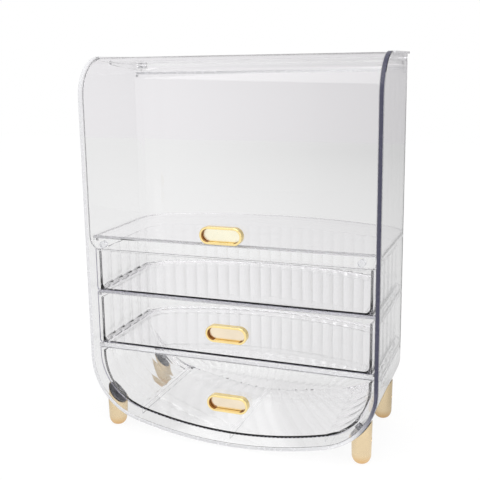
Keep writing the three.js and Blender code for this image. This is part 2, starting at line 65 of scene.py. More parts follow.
# Places and small sizes in metres, in a working frame whose y is 0 at the case's front rim.
SIDES = (-1, 1)
FEET = {"front_left": (-1, 0.018), "front_right": (1, 0.018), "rear_left": (-1, 0.124), "rear_right": (1, 0.124)}
FRONT_EDGE = -0.006  # the foremost point, on the cover's pull
OVERRUN = 0.005  # how far a cutting shape runs past what it cuts
DECK_REACH, DECK_DROP = 0.005, 0.0012  # the deck in front of the hinge, and under its barrel
RUNNERS = (0.133, 0.137)  # from the middle out to the ribs that the drawers slide on
RIB_BLANK_TOP, RIB_TOP = 0.0865, 0.05  # of the band that the belly's slide ribs are cut from, and of the ribs
TUB_SLACK, TUB_RIM = 0.0012, 0.008  # above a tub, and the band under its front's top that holds the tub's rim
SCREW_REACH = (-2.5, 4.5)  # a foot's screw hole, in walls from the belly's outer face
NOTCH, BORE_DEPTH = 0.010, 0.0083  # room round the hinge in the cover's edges, and the bores for its pins
PEG_RADIUS, PEG_START, PEG_END = 0.0016, 0.0008, 0.0016  # a pull's peg, and its reach past the panel's faces
PULL_SEAT, RECESS_MARGIN = 0.0003, 0.0002  # the gap behind a pull, and the slack when faces in its recess are found
RIM_STEPS = ((-0.0004, 0), (-0.00015, 0.00012), (0, 0.0005))  # a pull's inner edge: inset and depth
PLATE_STEPS = ((0.0003, 0.0003), (0.0003, 0.0007), (0.0005, 0.00085), (0.0010, 0.0009))  # inset and height

# Which faces have another finish, mostly painted light and shade on edges: least shares of a normal, and bands in
# metres.
FACING, FLAT = 0.5, 0.9
RIM_TURN, BROW_TURN, SHELF_TURN = 0.7, 0.05, 0.1
BROW_END, EDGE_BAND = 0.0005, 0.001

PIECE_CREASE, NODE_CREASE = 28, 40  # degrees, above which an edge stays sharp

# The colour, roughness and grain of each plating, and of each small part with its metal and its grain's stretch.
PLATINGS = {
    "bright gold": ("gold", 0.11, 90),
    # Shaded gold is painted shade for the ends of the pulls' recesses.
    "shaded gold": ("shaded_gold", 0.20, 90),
    "pale gold": ("pale_gold", 0.30, 140),
    "champagne gold": ("plate", 0.22, 140),
    "champagne": ("champagne", 0.24, 120),
}
SMALL_PARTS = {
    "grey rubber": ("rubber", 0.7, 500, 0.0, (1, 1, 1)),
    "plain steel": ("steel", 0.32, 300, 1.0, (1, 1, 6)),
    "polished steel": ("pin", 0.25, 300, 1.0, (6, 1, 1)),
}
PLATING_SHADE, PART_SHADE = 0.93, 0.8  # how dark the darker grain is
WHITE = (1, 1, 1, 1)
RIM_SHADE_FADE = (0.120, 0.149)  # where the rim turns from painted light to painted shade, to the right of the middle
TIP_SHADE_HEIGHT = 0.012  # where the painted shade at a foot's tip ends
COLOUR_A, COLOUR_B, COLOUR_RESULT = 6, 7, 2  # sockets of a Mix node for colours


def length(name, description, default):
    """A size in metres that a user may change."""
    return FloatProperty(
        name=name, description=description, default=default, min=0, unit="LENGTH", precision=4
    )


def number(name, description, default):
    return FloatProperty(name=name, description=description, default=default, precision=4)


def angle(name, description, degrees):
    return FloatProperty(name=name, description=description, default=math.radians(degrees), subtype="ANGLE")


def colour(name, description, default):
    """A surface or glow colour that a user may change."""
    return FloatVectorProperty(
        name=name, description=description, default=default, size=3, min=0, max=1, subtype="COLOR"
    )


class CaseSizes(PropertyGroup):
    width: length("Width", "Across the side walls", 0.300)
    depth: length("Depth", "From the front rim to the middle of the back", 0.174)
    height: length("Height", "From the floor to the top", 0.3845)
    wall: length("Wall", "Thickness of the case's walls", 0.004)
    clearance: length("Clearance", "From the floor to the lowest point of the belly", 0.0025)
    belly_radius: length("Belly radius", "Radius of the long bow under the case", 0.400)
    belly_corner: length("Belly corner", "Radius from the sides into the belly", 0.066)
    back_radius: length("Back radius", "Radius of the bowed back", 0.334)
    back_corner: length("Back corner", "Radius from the sides into the back", 0.038)
    brow: length("Brow radius", "Radius of the front upper corner of the side walls", 0.040)
    lip_reach: length("Lip reach", "How far the lip stands out round the top", 0.002)
    lip_thickness: length("Lip thickness", "Thickness of the lip round the top", 0.002)
    ledge: length("Ledge", "Reach and thickness of the ledges under the shelves", 0.003)
    ledge_setback: length("Ledge setback", "From the front rim to the ledges", 0.016)
    rib_height: length("Rib height", "Height of the slide ribs on the belly", 0.005)
    rib_width: length("Rib width", "Width of the slide ribs on the belly", 0.0008)
    rib_spacing: length("Rib spacing", "Between the slide ribs on the belly", 0.098)
    gap: length("Seat gap", "Between pieces that rest on each other", 0.0003)
    rim_round: length("Rim round", "Roundness of the front rim's edges", 0.0012)


class ShelfSizes(PropertyGroup):
    thickness: length("Thickness", "Thickness of a shelf", 0.003)
    recess: length("Recess", "From the front rim to the fronts of the drawers", 0.010)
    lower: length("Lower shelf", "Height of the lower shelf's underside", 0.0873)
    middle: length("Middle shelf", "Height of the middle shelf's underside", 0.1448)
    upper: length("Upper shelf", "Height of the upper shelf's underside", 0.2030)
    setback: length("Setback", "From the drawer fronts to a shelf's edge", 0.0008)
    edge: length("Edge radius", "Roundness of the upper shelf's front edge", 0.0022)
    lip_bottom: length("Lip bottom", "Height of the lower edge of the upper shelf's lip", 0.1933)
    runner_width: length("Runner width", "Width of the ribs that the drawers slide on", 0.0012)
    runner_height: length("Runner height", "Height of the ribs on the lower shelf", 0.0016)
    low_runner_height: length("Low runner height", "Height of the ribs on the middle shelf", 0.0006)


class DrawerSizes(PropertyGroup):
    front: length("Front thickness", "Thickness of a drawer's front", 0.0025)
    side_gap: length("Side gap", "Between a front and the side walls", 0.0015)
    front_corner: length("Front corner", "Radius of a front's lower corners", 0.003)
    tub_gap: length("Tub gap", "Between a drawer's tub and the walls", 0.0045)
    wall: length("Wall", "Thinnest part of a tub's wall", 0.0015)
    floor: length("Floor", "Thickness of a tub's floor", 0.0016)
    back_pitch: length("Back flute pitch", "Width of a flute round the back", 0.0125)
    back_ridge: length("Back ridge height", "Height of the ridges between the flutes round the back", 0.0025)
    side_pitch: length("Side flute pitch", "Width of a flute along the sides", 0.021)
    side_ridge: length("Side ridge height", "Height of the ridges between the flutes along the sides", 0.0012)
    floor_round: length("Floor round", "Radius from a straight tub's walls into its floor", 0.005)
    back_round: length("Back round", "Radius from the bottom tub's back down to its floor", 0.050)
    back_round_drop: length("Back round drop", "How far below the floor that round would end", 0.002)
    bottom_low: length("Bottom drawer low", "Lowest point of the bottom drawer", 0.0118)
    bottom_top: length("Bottom drawer top", "Top of the bottom drawer's front", 0.0865)
    bottom_corner: length("Bottom drawer corner", "Radius of the bottom drawer's lower corners", 0.058)
    middle_bottom: length("Middle drawer bottom", "Underside of the middle drawer", 0.0922)
    middle_top: length("Middle drawer top", "Top of the middle drawer's front", 0.1468)
    top_bottom: length("Top drawer bottom", "Underside of the top drawer", 0.1487)
    top_top: length("Top drawer top", "Top of the top drawer's front", 0.1920)
    flute_steps: IntProperty(
        name="Flute steps", description="Facets across one flute", default=10, min=4, max=32
    )


class CoverSizes(PropertyGroup):
    thickness: length("Thickness", "Thickness of the cover", 0.003)
    setback: length("Setback", "From the case's rim to the cover's face", 0.001)
    side_gap: length("Side gap", "Between the cover and the side walls", 0.0008)
    bottom: length("Bottom", "Height of the cover's lower edge", 0.1926)
    corner: length("Corner", "Radius of the cover's lower corners", 0.014)
    hinge_y: length("Hinge depth", "From the front rim to the hinge", 0.120)
    hinge_z: length("Hinge height", "Height of the hinge", 0.3775)
    barrel: length("Barrel radius", "Radius of the hinge barrel", 0.006)
    barrel_half: length("Barrel half length", "Half the barrel's length", 0.1422)
    rib: length("Rib thickness", "Thickness of the ribs under the top edges", 0.0025)
    rib_start: length("Rib start", "From the front rim to the ribs", 0.052)
    rib_low: length("Rib front height", "Height of a rib at its front", 0.006)
    bore: length("Bore radius", "Radius of the bore for a hinge pin", 0.0023)


class PullSizes(PropertyGroup):
    length: length("Length", "Length of a pull", 0.043)
    height: length("Height", "Height of a pull", 0.017)
    projection: length("Projection", "How far a pull stands out", 0.007)
    rim: length("Rim", "Width of the bright rim", 0.0022)
    recess: length("Recess", "Depth of the recess", 0.005)
    edge: length("Edge", "Roundness of the rim's edge", 0.0008)
    cover_z: length("Cover pull", "Height of the pull on the cover", 0.2171)
    middle_z: length("Middle pull", "Height of the pull on the middle drawer", 0.1172)
    bottom_z: length("Bottom pull", "Height of the pull on the bottom drawer", 0.0453)
    peg_spacing: length("Peg spacing", "Between a pull's two pegs", 0.026)
    peg_hole: length("Peg hole radius", "Radius of the holes for the pegs", 0.0019)


class FootSizes(PropertyGroup):
    radius: length("Radius", "Radius of a foot", 0.010)
    shoulder: length("Shoulder radius", "Radius just above the rounded end", 0.0094)
    rounding: length("Rounding", "Height of the rounded end", 0.009)
    tread: length("Tread radius", "Radius of the flat that a foot stands on", 0.003)
    side: length("Side", "From the middle of the case to a foot", 0.1315)
    pad: length("Pad", "Thickness of the pad above a foot", 0.001)
    screw_hole: length("Screw hole radius", "Radius of the hole for a foot's screw", 0.0018)


class Finishes(PropertyGroup):
    clear: colour("Clear plastic", "Tint of the clear plastic, seen along its edges", (0.20, 0.19, 0.28))
    case_density: number("Case density", "How strongly the case and the cover take light", 1.5)
    drawer_density: number("Drawer density", "How strongly the drawers take light", 5.0)
    case_ior: number("Case refraction", "Refractive index of the case and the cover", 1.38)
    drawer_ior: number("Drawer refraction", "Refractive index of the drawers", 1.32)
    # Painted highlight: a pale tone on edges, standing in for the light that the clear plastic picks up there.
    pale_edge: colour("Pale edge", "Edges that catch the light", (0.93, 0.93, 0.95))
    # Painted shade: a dark bluish tone on the rim at the right wall, standing in for light lost inside the plastic.
    deep_edge: colour("Deep edge", "Edges that look deep into the plastic", (0.07, 0.07, 0.115))
    # Painted shade: a pale bluish grey on the side and lower edges of the drawers' fronts, standing in for the dim
    # light along them.
    drawer_edge: colour("Drawer edge", "Edges of the drawers' fronts", (0.80, 0.78, 0.95))
    edge_clarity: number("Edge clarity", "How much light goes through an edge", 0.2)
    gold: colour("Gold", "Bright plated rims", (1.0, 0.80, 0.38))
    # Painted shade: a dark brown gold at the ends of the pulls' recesses, standing in for their dim reflections.
    shaded_gold: colour("Shaded gold", "Ends of the pulls' recesses", (0.34, 0.15, 0.03))
    pale_gold: colour("Pale gold", "Plate in the cover's pull", (1.0, 0.96, 0.76))
    plate: colour("Champagne gold", "Plates in the drawers' pulls", (0.92, 0.80, 0.62))
    champagne: colour("Champagne", "Plated feet", (0.82, 0.66, 0.43))
    # Painted shade: the feet darken towards their tips, near the floor.
    tip: colour("Foot tip", "Deeper tone at the feet's tips", (0.74, 0.46, 0.20))
    steel: colour("Steel", "Screws", (0.42, 0.42, 0.44))
    pin: colour("Pin", "Polished hinge pins", (0.80, 0.80, 0.82))
    rubber: colour("Rubber", "Pads above the feet", (0.17, 0.17, 0.20))
    frosted: colour("Frosted plastic", "Nuts and bumpers", (0.97, 0.98, 1.0))


class StudioSettings(PropertyGroup):
    azimuth: angle("Camera turn", "To the right of the front", 20.97)
    tilt: angle("Camera tilt", "Below the horizon", 11.03)
    roll: angle("Camera roll", "About the line of sight", -0.88)
    place: FloatVectorProperty(
        name="Camera place",
        description="Where the camera stands",
        default=(0.27739, -0.76171, 0.37396),
        unit="LENGTH",
    )
    lens: number("Lens", "Focal length in millimetres", 59.58)
    shift: number("Vertical shift", "The camera's vertical shift", -0.0417)
    floor: length("Floor size", "Across the pale floor", 6.0)
    ambient: number("Ambient light", "Strength of the even light", 0.8)
    room: number("Room brightness", "How bright the room looks in the plastic and the plating", 0.87)
    dark_side: angle("Dark side", "Where the room is darkest, to the right of the back", 40)
    dark: number("Dark side depth", "How much darker the room is on that side", 0.38)
    near_share: number("Near floor share", "How much of that darkness the floor near the case shows", 0.2)
    above: number("Ceiling brightness", "How bright the ceiling looks in the plastic and the plating", 0.95)
    ahead: number("Front brightness", "How bright the room looks in front of the case", 1.04)
    flags: number("Flags", "How bright the sides look in the plating", 0.62)
    bright_side: angle("Bright side", "Where the plating sees the most light, to the right of the front", 8)
    backdrop: colour("Backdrop", "The pale background", (1.0, 1.0, 1.0))
    tone: colour("Room tone", "The room's colour in the plastic", (0.995, 0.98, 1.0))


def sizes(*parts):
    """The scene's sizes of one part or of several."""
    found = [getattr(bpy.context.scene, f"{part}_sizes") for part in parts]
    return found if len(found) > 1 else found[0]


# Outlines. Points are pairs, and every arc is given by its centre, its radius and its two angles.


def arc(centre, radius, start, end, steps):
    turn = [start + (end - start) * i / steps for i in range(steps + 1)]
    return [(centre[0] + radius * math.cos(a), centre[1] + radius * math.sin(a)) for a in turn]


def quarter(steps):
    """The angles of a quarter turn."""
    return [math.pi / 2 * i / steps for i in range(steps + 1)]


def bow_frame(half, corner, bow, tip, opening):
    """Side of the opening, centre height of the bow and of the corners, and the lean where they meet."""
    side = 1 if opening > tip else -1
    centre = tip + side * bow
    rise = math.sqrt((bow - corner) ** 2 - (half - corner) ** 2)
    return side, centre, centre - side * rise, math.asin((half - corner) / (bow - corner))


def bow_arcs(half, corner, bow, tip, opening):
    side, centre, corner_centre, lean = bow_frame(half, corner, bow, tip, opening)
    near, far = -side * (math.pi / 2 - lean), -side * (math.pi / 2 + lean)
    return [
        ((half - corner, corner_centre), corner, 0, near),
        ((0, centre), bow, near, far),
        ((corner - half, corner_centre), corner, far, -side * math.pi),
    ]


def bowed_outline(half, corner, bow, tip, opening, corner_steps=28, bow_steps=48):
    """Straight sides that turn through round corners into one long bow."""
    right, middle, left = bow_arcs(half, corner, bow, tip, opening)
    return [
        (half, opening),
        *arc(*right, corner_steps),
        *arc(*middle, bow_steps)[1:-1],
        *arc(*left, corner_steps),
        (-half, opening),
    ]


def run_length(piece):
    """The length of a line, given by two points, or of an arc."""
    if len(piece) == 2:
        return (Vector(piece[1]) - Vector(piece[0])).length
    return abs(piece[3] - piece[2]) * piece[1]


def along(pieces, distance):
    """The point and the direction at a distance along a run of lines and arcs."""
    for piece in pieces:
        run = run_length(piece)
        if distance <= run or piece is pieces[-1]:
            break
        distance -= run
    if len(piece) == 2:
        start, end = Vector(piece[0]), Vector(piece[1])
        way = (end - start).normalized()
        return start + way * distance, way
    centre, radius, start, end = piece
    turn = start + (end - start) * distance / run
    way = Vector((-math.sin(turn), math.cos(turn))) * (1 if end > start else -1)
    return Vector((centre[0] + radius * math.cos(turn), centre[1] + radius * math.sin(turn))), way


def fluted(pieces, count, ridge, steps):
    """A run of hollows with a ridge between each two; the inside lies to the left of the run."""
    total = sum(map(run_length, pieces))
    points = []
    for i in range(count * steps + 1):
        point, way = along(pieces, total * i / (count * steps))
        rise = ridge * (1 - 2 * (i % steps) / steps) ** 2
        points.append((point.x - way.y * rise, point.y + way.x * rise))
    return points


def fluted_outline(plan, opening, counts):
    """The plan of a tub's inside: wide flutes down its sides, narrow ones round its back."""
    drawer, half = sizes("drawer"), plan[0]
    corner_centre, steps = bow_frame(*plan, opening)[2], drawer.flute_steps
    right = [((half, opening), (half, corner_centre))]
    left = [((-half, corner_centre), (-half, opening))]
    return [
        *fluted(right, counts[0], drawer.side_ridge, 2 * steps),
        *fluted(bow_arcs(*plan, opening), counts[1], drawer.back_ridge, steps)[1:-1],
        *fluted(left, counts[0], drawer.side_ridge, 2 * steps),
    ]


def round_inset(radius, height):
    """How far in a wall stands at a height above the floor that it meets in a round."""
    drop = min(radius, max(0, radius - height))
    return radius - math.sqrt(radius**2 - drop**2)


def half_at(half, corner, centre, lean, level):
    """Half the width inside a round corner at a level; below the corner's end it stays the same."""
    drop = min(corner * math.cos(lean), max(0, centre - level))
    return half - corner + math.sqrt(corner**2 - drop**2)


def rounded_panel(half, bottom, top, radius, steps=20):
    """An upright rectangle whose two lower corners are round."""
    return [
        (half, top),
        (-half, top),
        *arc((radius - half, bottom + radius), radius, math.pi, 1.5 * math.pi, steps),
        *arc((half - radius, bottom + radius), radius, 1.5 * math.pi, 2 * math.pi, steps),
    ]


def stadium(inset, y, height, steps=24):
    """A ring of points round a pull's outline."""
    pull = sizes("pull")
    radius, reach = pull.height / 2 - inset, (pull.length - pull.height) / 2
    outline = [
        *arc((reach, height), radius, -math.pi / 2, math.pi / 2, steps),
        *arc((-reach, height), radius, math.pi / 2, 1.5 * math.pi, steps),
    ]
    return [(x, y, z) for x, z in outline]


# Solids, made in the working frame. deliver() moves a finished piece to the CAD's frame.


def new_object(name, data):
    made = bpy.data.objects.new(name, data)
    bpy.context.scene.collection.objects.link(made)
    return made


def loft(name, rings):
    """A closed skin over rings of equally many points, with a flat face on the first and on the last."""
    count, faces = len(rings[0]), []
    last = (len(rings) - 1) * count
    for low in range(0, last, count):
        for i in range(count):
            j = (i + 1) % count
            faces.append((low + i, low + j, low + count + j, low + count + i))
    faces += [tuple(range(count)), tuple(range(last, last + count))]
    mesh = bpy.data.meshes.new(name)
    mesh.from_pydata([point for ring in rings for point in ring], [], faces)
    shape = bmesh.new()
    shape.from_mesh(mesh)
    bmesh.ops.remove_doubles(shape, verts=shape.verts, dist=1e-7)
    bmesh.ops.recalc_face_normals(shape, faces=shape.faces)
    shape.to_mesh(mesh)
    shape.free()
    return new_object(name, mesh)


def prism(outline, axis, start, end):
    """An outline drawn out along x, y or z; its pairs are the other two coordinates in order."""
    place = "xyz".index(axis)
    return loft("prism", [[(*p[:place], level, *p[place:]) for p in outline] for level in (start, end)])


def block(left, right, front, back, bottom, top):
    return prism([(left, front), (right, front), (right, back), (left, back)], "z", bottom, top)


def rod(radius, start, end, steps=24):
    """A round bar between two points."""
    start, end = Vector(start), Vector(end)
    turn = (end - start).to_track_quat("Z", "Y")
    turns = [2 * math.pi * i / steps for i in range(steps)]
    circle = [Vector((radius * math.cos(a), radius * math.sin(a), 0)) for a in turns]
    return loft("rod", [[place + turn @ p for p in circle] for place in (start, end)])


def combine(operation, base, tools):
    for tool in tools:
        step = base.modifiers.new(operation.title(), "BOOLEAN")
        step.operation = operation
        step.solver = "MANIFOLD"
        step.object = tool
    bpy.context.view_layer.update()
    mesh = bpy.data.meshes.new_from_object(base.evaluated_get(bpy.context.evaluated_depsgraph_get()))
    if not mesh.polygons:
        raise RuntimeError(f"nothing is left of {base.name} after {operation.lower()}")
    base.modifiers.clear()
    old, base.data = base.data, mesh
    bpy.data.meshes.remove(old)
    for tool in tools:
        bpy.data.meshes.remove(tool.data)
    return base


def cut(base, *tools):
    return combine("DIFFERENCE", base, tools)


def join(base, *tools):
    return combine("UNION", base, tools)


def overlap(base, *tools):
    return combine("INTERSECT", base, tools)


def smooth(mesh, material, crease):
    """One finish all over, and smooth shading up to a crease angle in degrees."""
    mesh.materials.clear()
    mesh.materials.append(material)
    mesh.shade_smooth()
    mesh.set_sharp_from_angle(angle=math.radians(crease))


def deliver(made, name, material, body, nodes):
    """Moves a piece into the CAD's frame, smooths it, and lets it stand for its CAD nodes."""
    made.name = made.data.name = name
    made.data.transform(Matrix.Translation((0, CAD_BOX[0][1] - FRONT_EDGE, 0)))
    made.data.polygons.foreach_set("material_index", [0] * len(made.data.polygons))
    smooth(made.data, material, PIECE_CREASE)
    even = made.modifiers.new("Flat faces stay flat", "WEIGHTED_NORMAL")
    even.keep_sharp = True
    even.weight = 100
    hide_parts(*nodes)
    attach(made, body)


def dress(node, material):
    """Gives a CAD node that keeps its shape a better material."""
    smooth(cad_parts[node].data, material, NODE_CREASE)


def finish_faces(made, material, test):
    """A second finish for the faces that pass a test of their centre, in the working frame, and normal."""
    made.data.materials.append(material)
    back = Vector((0, FRONT_EDGE - CAD_BOX[0][1], 0))
    for face in made.data.polygons:
        if test(face.center + back, face.normal):
            face.material_index = len(made.data.materials) - 1


# Finishes


def wire(tree, node, sockets):
    """Gives each named socket a plain value or a link."""
    for name, value in sockets.items():
        if isinstance(value, NodeSocket):
            tree.links.new(value, node.inputs[name])
        else:
            node.inputs[name].default_value = value


def add(tree, kind, sockets=None, **settings):
    """A node with its settings and sockets."""
    node = tree.nodes.new(f"ShaderNode{kind}")
    for name, value in settings.items():
        setattr(node, name, value)
    wire(tree, node, sockets or {})
    return node


def principled(tree, **sockets):
    """Sets the material's own shader; an underscore stands for a space."""
    shader = tree.nodes["Principled BSDF"]
    wire(tree, shader, {name.replace("_", " "): value for name, value in sockets.items()})
    return shader.outputs[0]


def maths(tree, operation, first, second):
    return add(tree, "Math", {0: first, 1: second}, operation=operation).outputs[0]


def spread(tree, value, start, end, low=0, high=1, way="SMOOTHSTEP"):
    """Carries one range of a value over to another."""
    sockets = {"Value": value, "From Min": start, "From Max": end, "To Min": low, "To Max": high}
    return add(tree, "MapRange", sockets, interpolation_type=way).outputs["Result"]


def coordinate(tree, axis):
    """One of the piece's own coordinates, in metres."""
    return add(tree, "SeparateXYZ", {0: add(tree, "TexCoord").outputs["Object"]}).outputs[axis]


def noise(tree, scale, detail, stretch=(1, 1, 1)):
    """Noise in the piece's own coordinates, in metres."""
    place = add(tree, "TexCoord").outputs["Object"]
    mapped = add(tree, "Mapping", {"Vector": place, "Scale": stretch}).outputs["Vector"]
    return add(tree, "TexNoise", {"Vector": mapped, "Scale": scale, "Detail": detail}).outputs["Fac"]


def ramp(tree, source, low, high, start=0.3, end=0.7):
    """Spreads a value between two grey levels or two colours."""
    node = add(tree, "ValToRGB", {"Fac": source})
    for element, place, value in zip(node.color_ramp.elements, (start, end), (low, high)):
        element.position = place
        element.color = (value, value, value, 1) if isinstance(value, float) else (*value, 1)
    return node.outputs["Color"]


def bump(tree, height, distance):
    return add(tree, "Bump", {"Strength": 1.0, "Distance": distance, "Height": height}).outputs["Normal"]


def new_tree(name):
    """The nodes of a new material."""
    material = bpy.data.materials.new(name)
    material.use_nodes = True
    return material.node_tree


def recipe(pattern):
    """Makes a finish when it is first asked for, and finds it by its name after that."""

    def named(make):
        def find(kind=""):
            name = pattern.format(kind)
            if name not in bpy.data.materials:
                make(new_tree(name), kind, bpy.context.scene.case_finishes)
            return bpy.data.materials[name]

        return find

    return named


@recipe("clear {} plastic")
def clear_plastic(tree, kind, looks):
    """Moulded clear plastic: bright through its faces, dark and bluish along its edges."""
    principled(
        tree,
        Base_Color=WHITE,
        Roughness=0.0,
        IOR=getattr(looks, f"{kind}_ior"),
        Transmission_Weight=1.0,
        Normal=bump(tree, noise(tree, 28, 1), 0.0001),
    )
    sockets = {"Color": (*looks.clear, 1), "Density": getattr(looks, f"{kind}_density")}
    volume = add(tree, "VolumeAbsorption", sockets)
    wire(tree, tree.nodes["Material Output"], {"Volume": volume.outputs["Volume"]})


@recipe("clear plastic, {} edge")
def edge_plastic(tree, kind, looks):
    """Edges of the clear plastic: satin edges are rough clear plastic; pale edges carry a painted highlight, the
    edges round the drawers' fronts a painted bluish grey shade, and the rim runs from painted light to painted shade.
    """
    if kind == "rim":
        # Painted light and shade across the rim: pale on the left and middle, dark at the right wall.
        across = spread(tree, coordinate(tree, "X"), *RIM_SHADE_FADE)
        tint = ramp(tree, across, looks.pale_edge, looks.deep_edge, 0, 1)
    else:
        # Satin edges stay white and clear; pale and drawer edges take their painted light and shade colours.
        tint = WHITE if kind == "satin" else (*getattr(looks, f"{kind}_edge"), 1)
    principled(
        tree,
        Base_Color=tint,
        Roughness=ramp(tree, noise(tree, 300, 2), 0.2, 0.3),
        IOR=looks.case_ior,
        Transmission_Weight=1.0 if kind == "satin" else looks.edge_clarity,
    )


@recipe("{} plating")
def plated(tree, kind, looks):
    """Metal plating over plastic: soft orange peel and small changes of tone; on the feet a painted shade, darkest at
    the tip, fades upwards.
    """
    tint, roughness, grain = PLATINGS[kind]
    tint = getattr(looks, tint)
    tone = ramp(tree, noise(tree, 60, 3), [PLATING_SHADE * c for c in tint], tint)
    # Painted shade on the feet: the colour darkens towards the tip, near the floor.
    if kind == "champagne":
        sockets = {
            "Factor": spread(tree, coordinate(tree, "Z"), 0, TIP_SHADE_HEIGHT),
            COLOUR_A: (*looks.tip, 1),
            COLOUR_B: tone,
        }
        tone = add(tree, "Mix", sockets, data_type="RGBA").outputs[COLOUR_RESULT]
    principled(
        tree,
        Metallic=1.0,
        Base_Color=tone,
        Roughness=ramp(tree, noise(tree, 220, 4), 0.8 * roughness, 1.25 * roughness),
        Normal=bump(tree, noise(tree, grain, 2), 0.00003),
    )


@recipe("{}")
def plain_part(tree, kind, looks):
    """Small turned or moulded parts with a fine grain."""
    tint, roughness, grain, metallic, stretch = SMALL_PARTS[kind]
    tint = getattr(looks, tint)
    tone = noise(tree, grain, 3, stretch)
    principled(
        tree,
        Metallic=metallic,
        Base_Color=ramp(tree, tone, [PART_SHADE * c for c in tint], tint),
        Roughness=ramp(tree, tone, 0.85 * roughness, 1.15 * roughness),
        Normal=bump(tree, tone, 0.00002),
    )


@recipe("soft clear plastic")
def soft_plastic(tree, _, looks):
    """Small moulded parts of a soft, nearly clear plastic."""
    principled(
        tree,
        Base_Color=(*looks.frosted, 1),
        Roughness=ramp(tree, noise(tree, 400, 2), 0.12, 0.2),
        IOR=1.46,
        Transmission_Weight=1.0,
    )


def deliver_clear(made, name, node, body="case", kind="case"):
    deliver(made, name, clear_plastic(kind), body, [node])


# Shapes of the case that several pieces share


def belly_outline(inset, top):
    case = sizes("case")
    return bowed_outline(
        case.width / 2 - inset, case.belly_corner - inset, case.belly_radius - inset, case.clearance + inset, top
    )


def back_plan(inset):
    """Half width, corner, bow and tip of the case's plan at a distance inside its outer face."""
    case = sizes("case")
    return case.width / 2 - inset, case.back_corner - inset, case.back_radius - inset, case.depth - inset


def plan_outline(inset, front):
    return bowed_outline(*back_plan(inset), front)


def wall_band(outer, inner, front, bottom, top):
    """A band round the inside or outside of the wall, behind a front plane."""
    case = sizes("case")
    band = cut(
        prism(plan_outline(outer, 0), "z", bottom, top),
        prism(plan_outline(inner, -OVERRUN), "z", bottom - OVERRUN, top + OVERRUN),
    )
    return overlap(band, block(-case.width, case.width, front, 2 * case.depth, bottom - OVERRUN, top + OVERRUN))


def deck_levels():
    """The underside and the top of the rear deck."""
    cover = sizes("cover")
    top = cover.hinge_z - cover.barrel - DECK_DROP
    return top - sizes("shelf").thickness, top


def corner_centre():
    """The height of the centre of the belly's corners."""
    case = sizes("case")
    return bow_frame(case.width / 2, case.belly_corner, case.belly_radius, case.clearance, case.height)[2]


def screw_hole(side, y):
    """The hole for a foot's screw, which goes square through the belly's corner."""
    case, foot = sizes("case", "foot")
    centre_x = case.width / 2 - case.belly_corner
    tilt = math.acos((foot.side - centre_x) / case.belly_corner)
    ends = [
        (side * (centre_x + reach * math.cos(tilt)), y, corner_centre() - reach * math.sin(tilt))
        for reach in [case.belly_corner + walls * case.wall for walls in SCREW_REACH]
    ]
    return rod(foot.screw_hole, *ends)


def peg_rods(radius, height, front, back):
    """A pair of rods at a pull's pegs."""
    places = [s * sizes("pull").peg_spacing / 2 for s in SIDES]
    return [rod(radius, (x, front, height), (x, back, height)) for x in places]


def peg_holes(height, front, back):
    return peg_rods(sizes("pull").peg_hole, height, front - OVERRUN, back + OVERRUN)


